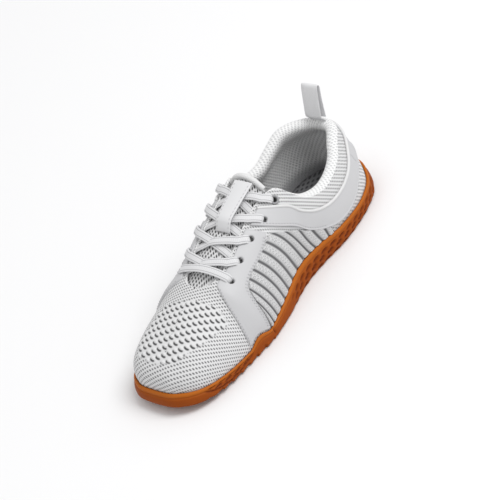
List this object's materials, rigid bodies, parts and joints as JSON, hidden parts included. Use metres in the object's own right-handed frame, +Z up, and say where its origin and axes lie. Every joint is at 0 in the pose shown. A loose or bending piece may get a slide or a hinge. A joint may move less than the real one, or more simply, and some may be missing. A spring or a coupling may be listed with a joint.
{
  "type": "barefoot shoe",
  "caption": "Low knit trainer for the left foot with a thin cup sole, wide toe box, smooth side overlays, ribbed side panels, laces and a heel pull loop.",
  "frame": {"origin": "middle of the whole part's box, on the floor", "axes": "+X towards the toe, +Y to the wearer's left, which is the outer side, +Z up"},
  "size_m": [0.2836, 0.0976, 0.099],
  "materials": {
    "gum_rubber": "satin gum rubber",
    "knit": "knit",
    "smooth_film": "soft matte film",
    "lace": "flat woven",
    "insole_cloth": "cloth"
  },
  "bodies": {
    "root": {"outsole": "gum_rubber", "insole": "insole_cloth", "upper": "knit", "tongue": "knit", "tongue_strip": "smooth_film", "heel_strap": "smooth_film", "saddle_lateral": "smooth_film", "saddle_medial": "smooth_film", "rib_panel_lateral": "knit", "rib_panel_medial": "knit", "eyelet_ring_lateral": "smooth_film", "eyelet_ring_medial": "smooth_film", "lace_bar": "lace", "lace_crossing_1": "lace", "lace_crossing_2": "lace", "lace_crossing_3": "lace", "lace_crossing_4": "lace", "pull_loop": "lace"}
  },
  "joints": []
}
